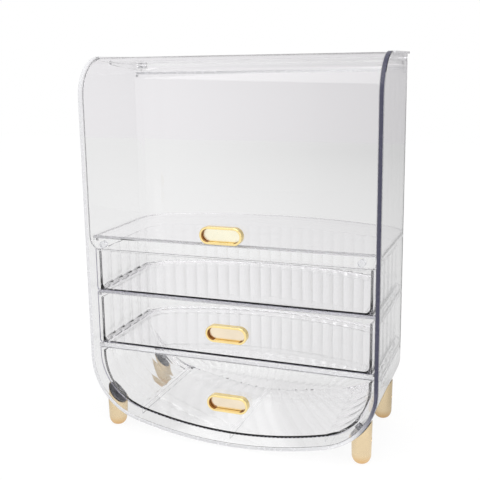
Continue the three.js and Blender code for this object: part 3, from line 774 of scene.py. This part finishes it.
class CASE_OT_shell(Operator):
    """Makes the one-piece shell: side walls, bowed back, bowed belly, lip, ledges and slide ribs"""

    bl_idname = "cosmetics_case.shell"
    bl_label = "Case shell"

    @staticmethod
    def moulding():
        """The hollow shell. Its front rim is rounded inside and outside, and follows the brow."""
        case = sizes("case")
        half, top = case.width / 2, case.height + OVERRUN
        rounding = [(case.rim_round * (1 - math.sin(t)), case.rim_round * (1 - math.cos(t))) for t in quarter(6)]

        def section(inset, y, top):
            return [(x, y, z) for x, z in belly_outline(inset, top)]

        def profile(inset, x):
            """The side walls' outline with its round brow, seen from the right."""
            brow = arc((case.brow, case.height - case.brow), case.brow - inset, math.pi / 2, math.pi, 32)
            back = case.depth + OVERRUN
            foot = ((inset, -OVERRUN), (back, -OVERRUN), (back, case.height - inset))
            return [(x, y, z) for y, z in (*foot, *brow)]

        outer = [*[section(i, y, case.height) for i, y in rounding], section(0, case.depth, case.height)]
        sides = [profile(i, x - half) for i, x in rounding]
        sides += [profile(i, half - x) for i, x in reversed(rounding)]
        inner = [
            section(case.wall - case.rim_round, -OVERRUN, top),
            *[section(case.wall - i, y, top) for i, y in rounding],
            section(case.wall, case.depth, top),
        ]
        return cut(
            overlap(
                loft("shell", outer),
                prism(plan_outline(0, -OVERRUN), "z", 0, case.height),
                loft("brow", sides),
            ),
            overlap(loft("inside", inner), prism(plan_outline(case.wall, -OVERRUN), "z", 0, top)),
        )

    @staticmethod
    def slide_ribs():
        case, shelf = sizes("case", "shelf")
        back = case.depth - case.wall - case.back_corner
        blank, above = belly_outline(case.wall - case.gap, RIB_BLANK_TOP), RIB_BLANK_TOP + OVERRUN
        ribs = cut(
            prism(blank, "y", shelf.recess, back),
            prism(
                belly_outline(case.wall + case.rib_height, above), "y", shelf.recess - OVERRUN, back + OVERRUN
            ),
        )
        strips = [
            block(x - case.rib_width / 2, x + case.rib_width / 2, 0, case.depth, 0, RIB_TOP)
            for x in (-case.rib_spacing, 0, case.rib_spacing)
        ]
        return overlap(ribs, join(*strips))

    def execute(self, context):
        case, shelf, cover = sizes("case", "shelf", "cover")
        half = case.width / 2
        lip = wall_band(-case.lip_reach, case.wall, case.brow, case.height - case.lip_thickness, case.height)
        seats = [(level, case.ledge_setback) for level in (shelf.lower, shelf.middle, shelf.upper)]
        seats.append((deck_levels()[0], cover.hinge_y - DECK_REACH))
        ledges = [
            wall_band(
                case.wall - case.gap, case.wall + case.ledge, front, level - case.gap - case.ledge, level - case.gap
            )
            for level, front in seats
        ]
        ends = [(x, cover.hinge_y, cover.hinge_z) for x in (-case.width, case.width)]
        holes = [rod(cover.bore, *ends), *[screw_hole(*place) for place in FEET.values()]]
        shell = cut(join(self.moulding(), lip, *ledges, self.slide_ribs()), *holes)
        deliver_clear(shell, "clear_shell", "case_shell")
        # Front-facing faces get a painted highlight: the pale edge tone stands in for the light they pick up.
        finish_faces(shell, edge_plastic("pale"), lambda at, way: way.y < -FACING and at.y < cover.hinge_y)

        # The rim gets painted light that turns to painted shade near the right wall.
        def on_rim(at, way):
            front = at.y < case.rim_round and way.y < -FACING
            brow = way.y < -BROW_TURN or way.z > FACING
            brow = brow and at.z > case.height - case.brow and at.y < case.brow - BROW_END
            return abs(way.x) < RIM_TURN and (front or brow and half - case.wall < abs(at.x) < half)

        finish_faces(shell, edge_plastic("rim"), on_rim)
        return {"FINISHED"}


class CASE_OT_shelves(Operator):
    """Makes the three shelves and the rear deck, with the ribs that the drawers slide on"""

    bl_idname = "cosmetics_case.shelves"
    bl_label = "Shelves and deck"

    @staticmethod
    def plate(front, bottom, top):
        case = sizes("case")
        plate = prism(plan_outline(case.wall + case.gap, 0), "z", bottom, top)
        return overlap(plate, block(-case.width, case.width, front, case.depth, bottom - OVERRUN, top + OVERRUN))

    def ribbed(self, front, bottom, rib_height):
        """A shelf with two runners at each side."""
        case, shelf = sizes("case", "shelf")
        back, half, top = case.depth - case.wall - case.back_corner, shelf.runner_width / 2, bottom + shelf.thickness
        runners = [
            block(s * x - half, s * x + half, front, back, top - case.gap, top + rib_height)
            for s in SIDES
            for x in RUNNERS
        ]
        return join(self.plate(front, bottom, top), *runners)

    def upper(self):
        """The upper shelf, whose front turns down into a lip."""
        case, shelf, drawer = sizes("case", "shelf", "drawer")
        face, back, top = shelf.recess, shelf.recess + drawer.front, shelf.upper + shelf.thickness
        profile = [
            (face, shelf.lip_bottom),
            (back, shelf.lip_bottom),
            (back, shelf.upper),
            (case.depth, shelf.upper),
            (case.depth, top),
            *arc((face + shelf.edge, top - shelf.edge), shelf.edge, math.pi / 2, math.pi, 10),
        ]
        return overlap(
            prism(profile, "x", -case.width, case.width),
            prism(plan_outline(case.wall + case.gap, 0), "z", shelf.lip_bottom, top),
        )

    def execute(self, context):
        shelf, drawer, cover = sizes("shelf", "drawer", "cover")
        front = shelf.recess + shelf.setback
        middle_front = shelf.recess + drawer.front + shelf.setback
        for piece, made in {
            "lower_shelf": self.ribbed(front, shelf.lower, shelf.runner_height),
            "middle_shelf": self.ribbed(middle_front, shelf.middle, shelf.low_runner_height),
            "upper_shelf": self.upper(),
            "rear_deck": self.plate(cover.hinge_y - DECK_REACH, *deck_levels()),
        }.items():
            deliver_clear(made, f"clear_{piece}", piece)
            # Front edges of the shelves and deck get a painted highlight in the pale edge tone.
            forward, upward = (SHELF_TURN, SHELF_TURN) if piece == "upper_shelf" else (FACING, -1)
            finish_faces(made, edge_plastic("pale"), lambda at, way: way.y < -forward and way.z > upward)
        return {"FINISHED"}


class CASE_OT_cover(Operator):
    """Makes the hinged dust cover with its curved brow, edge ribs and hinge barrel"""

    bl_idname = "cosmetics_case.cover"
    bl_label = "Dust cover"

    def execute(self, context):
        case, cover = sizes("case", "cover")
        top, back = case.height - cover.setback, cover.setback + cover.thickness
        half, end = case.width / 2 - case.wall - cover.side_gap, cover.barrel_half
        centre, radius = (case.brow, case.height - case.brow), case.brow - cover.setback
        profile = [
            (cover.setback, cover.bottom),
            (back, cover.bottom),
            *arc(centre, radius - cover.thickness, math.pi, math.pi / 2, 36),
            (cover.hinge_y, top - cover.thickness),
            (cover.hinge_y, top),
            *arc(centre, radius, math.pi / 2, math.pi, 36),
        ]
        panel = overlap(
            prism(profile, "x", -half, half),
            prism(rounded_panel(half, cover.bottom, case.height, cover.corner), "y", -OVERRUN, case.depth),
        )
        middle = top - cover.thickness / 2
        rib = [
            (cover.rib_start, middle),
            (cover.rib_start, top - cover.rib_low),
            (cover.hinge_y, cover.hinge_z - cover.barrel),
            (cover.hinge_y, middle),
        ]
        ribs = [prism(rib, "x", *sorted((s * end, s * (end - cover.rib)))) for s in SIDES]

        def hinge_rod(radius, start, stop, steps):
            return rod(radius, *[(x, cover.hinge_y, cover.hinge_z) for x in (start, stop)], steps)

        near, far = cover.hinge_y - NOTCH, cover.hinge_y + NOTCH
        notches = [
            block(*sorted((s * end, s * case.width)), near, far, cover.hinge_z - NOTCH, case.height + OVERRUN)
            for s in SIDES
        ]
        bores = [hinge_rod(cover.bore, s * (end - BORE_DEPTH), s * case.width, 24) for s in SIDES]
        made = join(panel, *ribs, hinge_rod(cover.barrel, -end, end, 48))
        made = cut(made, *notches, *bores, *peg_holes(sizes("pull").cover_z, cover.setback, back))
        deliver_clear(made, "clear_cover", "cover", "cover_body")

        # The cover's side and lower edges get a painted highlight in the pale edge tone.
        def on_edge(at, way):
            beside = abs(at.x) > half - EDGE_BAND and abs(way.x) > FLAT
            return beside or way.z < -FACING and at.z < cover.bottom + cover.corner

        finish_faces(made, edge_plastic("pale"), on_edge)
        return {"FINISHED"}


class CASE_OT_drawers(Operator):
    """Makes the three fluted drawers"""

    bl_idname = "cosmetics_case.drawers"
    bl_label = "Drawers"

    @staticmethod
    def hollow(levels):
        """A tub's fluted inside through levels of height, and how far in its sides, corners and back stand."""
        case, drawer, shelf = sizes("case", "drawer", "shelf")
        opening = shelf.recess + drawer.front
        half, corner, bow, tip = back_plan(case.wall + drawer.tub_gap + drawer.wall)
        side = bow_frame(half, corner, bow, tip, opening)[2] - opening
        back = sum(map(run_length, bow_arcs(half, corner, bow, tip, opening)))
        counts = [max(1, round(run / pitch)) for run, pitch in ((side, drawer.side_pitch), (back, drawer.back_pitch))]
        rings = []
        for height, in_side, in_corner, in_back in levels:
            inside = half - in_side, corner - in_corner, bow - in_corner, tip - in_back
            rings.append([(x, y, height) for x, y in fluted_outline(inside, opening, counts)])
        return loft("hollow", rings)

    def straight(self, bottom, top, tub_top):
        """A drawer with an upright tub."""
        case, drawer, shelf = sizes("case", "drawer", "shelf")
        half = case.width / 2 - case.wall - drawer.side_gap
        panel = rounded_panel(half, bottom, top, drawer.front_corner)
        front = prism(panel, "y", shelf.recess, shelf.recess + drawer.front)
        tub = prism(plan_outline(case.wall + drawer.tub_gap, shelf.recess), "z", bottom, tub_top)
        radius, floor = drawer.floor_round, bottom + drawer.floor
        levels = [(floor + radius * (1 - math.cos(t)), *[radius * (1 - math.sin(t))] * 3) for t in quarter(8)]
        return join(front, cut(tub, self.hollow([*levels, (tub_top + OVERRUN, 0, 0, 0)])))

    def bowed(self):
        """The bottom drawer: its tub follows the belly, and its back runs into the floor in a large round."""
        case, drawer, shelf = sizes("case", "drawer", "shelf")
        recess, back = shelf.recess, shelf.recess + drawer.front
        low, floor = drawer.bottom_low, drawer.bottom_low + drawer.floor
        bow = case.belly_radius - (low - case.clearance)
        half = case.width / 2 - case.wall - drawer.side_gap
        shrink = drawer.tub_gap - drawer.side_gap
        top = shelf.lower - case.ledge - TUB_SLACK
        front = overlap(
            prism(bowed_outline(half, drawer.bottom_corner, bow, low, case.height), "y", recess, back),
            block(-case.width, case.width, 0, case.depth, 0, drawer.bottom_top),
        )
        corner = drawer.bottom_corner - shrink
        shares = [(i / 16) ** 2 for i in range(17)]
        rings = []
        for height in [low + (top - low) * share for share in shares]:
            *sides, tip = back_plan(case.wall + drawer.tub_gap)
            tip -= round_inset(drawer.back_round + drawer.wall, height - low + drawer.back_round_drop)
            rings.append([(x, y, height) for x, y in bowed_outline(*sides, tip, recess)])
        section = bowed_outline(half - shrink, corner, bow, low, case.height)
        outer = overlap(loft("tub", rings), prism(section, "y", recess, case.depth))

        inside = half - shrink - drawer.wall, corner - drawer.wall, bow - drawer.floor
        _, bow_centre, centre, lean = bow_frame(*inside, floor, case.height)
        heights = [floor - OVERRUN, *[floor + (top - floor) * share for share in shares], top + OVERRUN]
        levels = [
            (
                height,
                inside[0] - half_at(inside[0], inside[1], centre, lean, height),
                0,
                round_inset(drawer.back_round, height - floor + drawer.back_round_drop),
            )
            for height in heights
        ]
        reach = math.asin(inside[0] / inside[2])
        over_floor = [
            (inside[0], case.height),
            *arc((0, bow_centre), inside[2], reach - math.pi / 2, -reach - math.pi / 2, 96),
            (-inside[0], case.height),
        ]
        inner = overlap(self.hollow(levels), prism(over_floor, "y", back, case.depth))
        return join(front, cut(outer, inner))

    def execute(self, context):
        case, drawer, shelf, pull = sizes("case", "drawer", "shelf", "pull")
        back = shelf.recess + drawer.front
        top = self.straight(drawer.top_bottom, drawer.top_top, drawer.top_top - TUB_SLACK)
        middle = self.straight(drawer.middle_bottom, drawer.middle_top, shelf.middle - case.ledge - TUB_SLACK)
        middle = cut(middle, *peg_holes(pull.middle_z, shelf.recess, back))
        bottom = cut(self.bowed(), *peg_holes(pull.bottom_z, shelf.recess, back))
        for level, made, crest in (
            ("top", top, drawer.top_top),
            ("middle", middle, drawer.middle_top),
            ("bottom", bottom, drawer.bottom_top),
        ):
            kind = "case" if level == "bottom" else "drawer"
            deliver_clear(made, f"clear_{level}_drawer", f"{level}_drawer", f"{level}_drawer_body", kind)
            # Front panels' tops get a painted highlight, the tubs' rims a satin finish, and the fronts' side and
            # lower edges a painted bluish grey shade.
            for edge, test in {
                "pale": lambda at, way: way.z > FLAT and at.y < back,
                "satin": lambda at, way: way.z > FLAT and at.y > back and at.z > crest - TUB_RIM,
                "drawer": lambda at, way: at.y < back and abs(way.y) < FACING and way.z < FACING,
            }.items():
                finish_faces(made, edge_plastic(edge), test)
        return {"FINISHED"}


class CASE_OT_pulls(Operator):
    """Makes the gold pulls with their bevelled recesses and pale plates"""

    bl_idname = "cosmetics_case.pulls"
    bl_label = "Pulls"

    @staticmethod
    def ring(face, height):
        """A pull's skin, from its back edge round the rim and down into the recess."""
        pull = sizes("pull")
        front = face - pull.projection
        rings = [(0, face - PULL_SEAT)]
        rings += [
            (pull.edge * (1 - math.cos(a)), front + pull.edge * (1 - math.sin(a))) for a in quarter(5)
        ]
        rings += [(pull.rim + inset, front + depth) for inset, depth in RIM_STEPS]
        rings.append((pull.rim, front + pull.recess))
        return loft("pull", [stadium(inset, y, height) for inset, y in rings])

    def execute(self, context):
        cover, shelf, drawer, pull = sizes("cover", "shelf", "drawer", "pull")
        for name, face, height, thick, finish in (
            ("cover", cover.setback, pull.cover_z, cover.thickness, "pale gold"),
            ("middle_drawer", shelf.recess, pull.middle_z, drawer.front, "champagne gold"),
            ("bottom_drawer", shelf.recess, pull.bottom_z, drawer.front, "champagne gold"),
        ):
            body, front = f"{name}_body", face - pull.projection
            pegs = peg_rods(PEG_RADIUS, height, face - PEG_START, face + thick + PEG_END)
            rim = join(self.ring(face, height), *pegs)
            deliver(rim, f"{name}_pull_rim", plated("bright gold"), body, [f"{name}_pull"])

            # The ends of each recess get painted shade in the dark shaded gold.
            def in_recess(at, way):
                past = abs(at.x) - (pull.length - pull.height) / 2
                reach = pull.height / 2 - pull.rim + RECESS_MARGIN
                inside = past > 0 and Vector((past, at.z - height)).length < reach
                return inside and abs(way.y) < FACING and at.y > front + RECESS_MARGIN

            finish_faces(rim, plated("shaded gold"), in_recess)
            floor = front + pull.recess
            plate = loft("plate", [stadium(pull.rim + i, floor - up, height) for i, up in PLATE_STEPS])
            plating = plated(finish)
            deliver(plate, f"{name}_pull_plate", plating, body, [f"{name}_pull_inset"])
            for side in ("left", "right"):
                dress(f"{name}_pull_nut_{side}", soft_plastic())
        return {"FINISHED"}


class CASE_OT_feet(Operator):
    """Makes the four plated feet and finishes their pads and screws"""

    bl_idname = "cosmetics_case.feet"
    bl_label = "Feet"

    def execute(self, context):
        case, foot = sizes("case", "foot")
        top, widening = corner_centre(), foot.shoulder - foot.tread
        profile = [
            *[(foot.tread + widening * math.sin(t), foot.rounding * (1 - math.cos(t))) for t in quarter(14)],
            (foot.radius, top / 2),
            (foot.radius, top),
        ]
        turns = [2 * math.pi * i / 64 for i in range(64)]
        for name, (side, y) in FEET.items():
            skin = [[(side * foot.side + r * math.cos(t), y + r * math.sin(t), z) for t in turns] for r, z in profile]
            below = cut(
                block(-case.width, case.width, -OVERRUN, case.depth, -OVERRUN, top),
                prism(
                    belly_outline(-foot.pad - 2 * case.gap, top + OVERRUN), "y", -case.depth, 2 * case.depth
                ),
            )
            made = cut(overlap(loft("foot", skin), below), screw_hole(side, y))
            deliver(made, f"plated_foot_{name}", plated("champagne"), "case", [f"foot_{name}"])
            dress(f"foot_pad_{name}", plain_part("grey rubber"))
            dress(f"foot_screw_{name}", plain_part("plain steel"))
        return {"FINISHED"}


class CASE_OT_hardware(Operator):
    """Finishes the hinge pins and the cover's bumpers"""

    bl_idname = "cosmetics_case.hardware"
    bl_label = "Pins and bumpers"

    def execute(self, context):
        for side in ("left", "right"):
            dress(f"hinge_pin_{side}", plain_part("polished steel"))
            dress(f"cover_bumper_{side}", soft_plastic())
        return {"FINISHED"}


class CASE_OT_studio(Operator):
    """Makes the pale floor, the even light, the soft lamps and the camera"""

    bl_idname = "cosmetics_case.studio"
    bl_label = "Studio"

    LAMPS = {
        "key": {"place": (0.05, -0.84, 1.66), "target": (0, -0.1, 0.3), "size": 1.34, "spin": 45, "power": 11},
        "fill": {"place": (1.4, -0.9, 0.9), "target": (0, 0, 0.2), "size": 1.1, "spin": 0, "power": 3},
    }
    # Where each part of the room begins and is full: the cosine of the angle from its middle.
    DARK_CORNER, CEILING, FRONT, GLEAM = (0.25, 1.0), (0.5, 0.9), (0.55, 0.95), (0.0, 0.8)
    FLOOR_LEVELS = (-0.002, -0.0001)
    FLOOR_CENTRE = (0, 0.05, 0)  # where the directions on the floor are taken from
    FLOOR_FADE = (0.4, 2.6)  # metres over which the floor takes on the room's dark corner
    FLOOR_SHOWN, FLOOR_GLOW = 1.04, 0.88  # its brightness to the camera, and how much of it glows

    @staticmethod
    def seen_as_backdrop(tree):
        """1 for a camera, glossy or transmission ray, so that metal and plastic show the background too."""
        path = add(tree, "LightPath").outputs
        first = maths(tree, "MAXIMUM", path["Is Camera Ray"], path["Is Glossy Ray"])
        return maths(tree, "MAXIMUM", first, path["Is Transmission Ray"])

    def room(self, tree, studio, way, share=1.0):
        """How bright the room looks in one direction: pale, darker at the back right, bright above and ahead."""

        def towards(axis, reach, low, high):
            facing = add(tree, "VectorMath", {0: way, 1: axis}, operation="DOT_PRODUCT").outputs["Value"]
            return spread(tree, facing, *reach, low, high)

        corner = (math.sin(studio.dark_side), math.cos(studio.dark_side), 0)
        dark = towards(corner, self.DARK_CORNER, studio.room, studio.room - studio.dark)
        around = add(tree, "Mix", {"Factor": share, "A": studio.room, "B": dark}).outputs["Result"]
        above = towards((0, 0, 1), self.CEILING, 0, studio.above)
        ahead = towards((0, -1, 0), self.FRONT, 0, studio.ahead)
        level = maths(tree, "MAXIMUM", maths(tree, "MAXIMUM", around, above), ahead)

        gleam = (math.sin(studio.bright_side), -math.cos(studio.bright_side), 0)
        flagged = maths(tree, "MAXIMUM", towards(gleam, self.GLEAM, studio.flags, studio.ahead), above)
        path = add(tree, "LightPath").outputs
        mirrored = maths(tree, "GREATER_THAN", path["Is Glossy Ray"], path["Is Transmission Ray"])
        return add(tree, "Mix", {"Factor": mirrored, "A": level, "B": flagged}).outputs["Result"]

    def world(self, studio):
        world = bpy.data.worlds.new("studio")
        bpy.context.scene.world = world
        world.use_nodes = True
        tree = world.node_tree
        light = tree.nodes["Background"]
        wire(tree, light, {"Color": WHITE, "Strength": studio.ambient})
        level = self.room(tree, studio, add(tree, "TexCoord").outputs["Generated"])
        mirrored = add(tree, "Background", {"Color": (*studio.tone, 1), "Strength": level}).outputs[0]
        shown = add(tree, "Background", {"Color": (*studio.backdrop, 1)}).outputs[0]
        seen = self.seen_as_backdrop(tree)
        through = add(tree, "MixShader", {0: seen, 1: light.outputs[0], 2: mirrored}).outputs[0]
        direct = add(tree, "LightPath").outputs["Is Camera Ray"]
        mix = add(tree, "MixShader", {0: direct, 1: through, 2: shown}).outputs[0]
        wire(tree, tree.nodes["World Output"], {"Surface": mix})

    def floor(self, studio):
        """A pale floor that keeps a soft shadow; in the plastic it looks as bright as the room behind it."""
        half = studio.floor / 2
        floor = block(-half, half, -half, half, *self.FLOOR_LEVELS)
        floor.name = "pale_floor"
        tree = new_tree("pale floor")
        shader = principled(tree, Base_Color=(0.9, 0.9, 0.9, 1), Roughness=0.9)
        place = add(tree, "NewGeometry").outputs["Position"]
        moved = add(tree, "VectorMath", {0: place, 1: self.FLOOR_CENTRE}, operation="SUBTRACT").outputs[0]
        way = add(tree, "VectorMath", {0: moved}, operation="NORMALIZE").outputs[0]
        reach = add(tree, "VectorMath", {0: place}, operation="LENGTH").outputs["Value"]
        share = spread(tree, reach, *self.FLOOR_FADE, studio.near_share, 1, "LINEAR")
        direct = add(tree, "LightPath").outputs["Is Camera Ray"]
        sockets = {"Factor": direct, "A": self.room(tree, studio, way, share), "B": self.FLOOR_SHOWN}
        level = add(tree, "Mix", sockets).outputs["Result"]
        glow = add(tree, "Emission", {"Color": (*studio.backdrop, 1), "Strength": level}).outputs[0]
        glowing = maths(tree, "MULTIPLY", self.seen_as_backdrop(tree), self.FLOOR_GLOW)
        mix = add(tree, "MixShader", {0: glowing, 1: shader, 2: glow}).outputs[0]
        wire(tree, tree.nodes["Material Output"], {"Surface": mix})
        floor.data.materials.append(bpy.data.materials["pale floor"])

    @staticmethod
    def lamp(name, place, target, size, spin, power):
        """A square soft lamp, turned by some degrees about the line to its target."""
        data = bpy.data.lights.new(name, "AREA")
        data.shape = "SQUARE"
        data.size = size
        data.energy = power
        turn = (Vector(target) - Vector(place)).to_track_quat("-Z", "Y").to_matrix().to_4x4()
        spun = Matrix.Rotation(math.radians(spin), 4, "Z")
        new_object(name, data).matrix_world = Matrix.Translation(place) @ turn @ spun

    @staticmethod
    def camera(studio):
        yaw, tilt, roll = studio.azimuth, studio.tilt, studio.roll
        right = Vector((math.cos(yaw), math.sin(yaw), 0))
        ahead = Vector((-math.sin(yaw) * math.cos(tilt), math.cos(yaw) * math.cos(tilt), -math.sin(tilt)))
        up = right.cross(ahead)
        across = math.cos(roll) * right + math.sin(roll) * up
        above = math.cos(roll) * up - math.sin(roll) * right
        data = bpy.data.cameras.new("camera")
        data.sensor_width = 36
        data.lens = studio.lens
        data.shift_y = studio.shift
        data.clip_start, data.clip_end = 0.01, 20
        camera = new_object("camera", data)
        turn = Matrix((across, above, -ahead)).transposed()
        camera.matrix_world = Matrix.Translation(studio.place) @ turn.to_4x4()
        bpy.context.scene.camera = camera

    def execute(self, context):
        studio = context.scene.studio_settings
        self.world(studio)
        self.floor(studio)
        for name, values in self.LAMPS.items():
            self.lamp(name, **values)
        self.camera(studio)
        context.scene.view_settings.view_transform = "Standard"
        paths = context.scene.cycles
        paths.max_bounces = paths.transmission_bounces = 36
        paths.glossy_bounces = 12
        paths.transparent_max_bounces = 24
        return {"FINISHED"}


class CASE_PT_sidebar(Panel):
    """Lists what makes the case, in the order of making"""

    bl_idname = "CASE_PT_sidebar"
    bl_label = "Cosmetics Case"
    bl_space_type = "VIEW_3D"
    bl_region_type = "UI"
    bl_category = "Cosmetics Case"

    def draw(self, context):
        for step in STEPS:
            self.layout.operator(step.bl_idname)
        for owner in SETTINGS:
            box = self.layout.box()
            box.label(text=owner.replace("_", " ").capitalize())
            group = getattr(context.scene, owner)
            for name in group.bl_rna.properties.keys():
                if name not in ("rna_type", "name"):
                    box.prop(group, name)


STEPS = (
    CASE_OT_studio,
    CASE_OT_shell,
    CASE_OT_shelves,
    CASE_OT_cover,
    CASE_OT_drawers,
    CASE_OT_pulls,
    CASE_OT_feet,
    CASE_OT_hardware,
)
SETTINGS = {
    "case_sizes": CaseSizes,
    "shelf_sizes": ShelfSizes,
    "drawer_sizes": DrawerSizes,
    "cover_sizes": CoverSizes,
    "pull_sizes": PullSizes,
    "foot_sizes": FootSizes,
    "case_finishes": Finishes,
    "studio_settings": StudioSettings,
}


def register():
    for name, group in SETTINGS.items():
        bpy.utils.register_class(group)
        setattr(bpy.types.Scene, name, PointerProperty(type=group))
    for step in (*STEPS, CASE_PT_sidebar):
        bpy.utils.register_class(step)


def unregister():
    for step in (CASE_PT_sidebar, *reversed(STEPS)):
        bpy.utils.unregister_class(step)
    for name, group in SETTINGS.items():
        delattr(bpy.types.Scene, name)
        bpy.utils.unregister_class(group)


def main():
    register()
    bpy.ops.cosmetics_case.studio()
    bpy.ops.cosmetics_case.shell()
    bpy.ops.cosmetics_case.shelves()
    bpy.ops.cosmetics_case.cover()
    bpy.ops.cosmetics_case.drawers()
    bpy.ops.cosmetics_case.pulls()
    bpy.ops.cosmetics_case.feet()
    bpy.ops.cosmetics_case.hardware()


if __name__ == "__main__":
    main()
